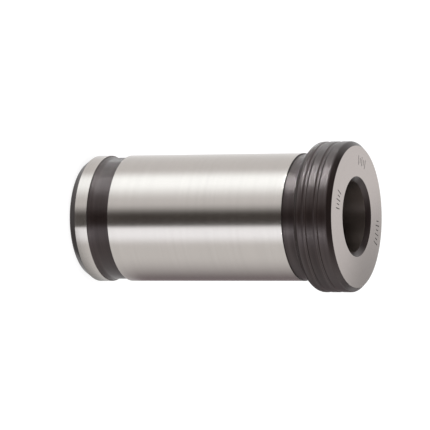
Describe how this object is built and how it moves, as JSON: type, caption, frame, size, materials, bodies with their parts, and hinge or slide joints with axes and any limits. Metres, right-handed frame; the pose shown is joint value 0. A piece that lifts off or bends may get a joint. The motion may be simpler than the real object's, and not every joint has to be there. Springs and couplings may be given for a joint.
{
  "type": "taper collet",
  "caption": "Turned steel taper collet: a ground round shank with a dark ringed flange, a taper socket in its front face, a groove near the tail and a tang slot through the tail wall.",
  "frame": {"origin": "centre of the tail end face, on the axis", "axes": "+Z along the axis from the tail to the front face, +X along the length of the tang slot"},
  "size_m": [0.0376, 0.0376, 0.072],
  "materials": {
    "ground_steel": "satin",
    "black_oxide": "satin"
  },
  "bodies": {
    "root": {"collet_body": "ground_steel"}
  },
  "joints": []
}
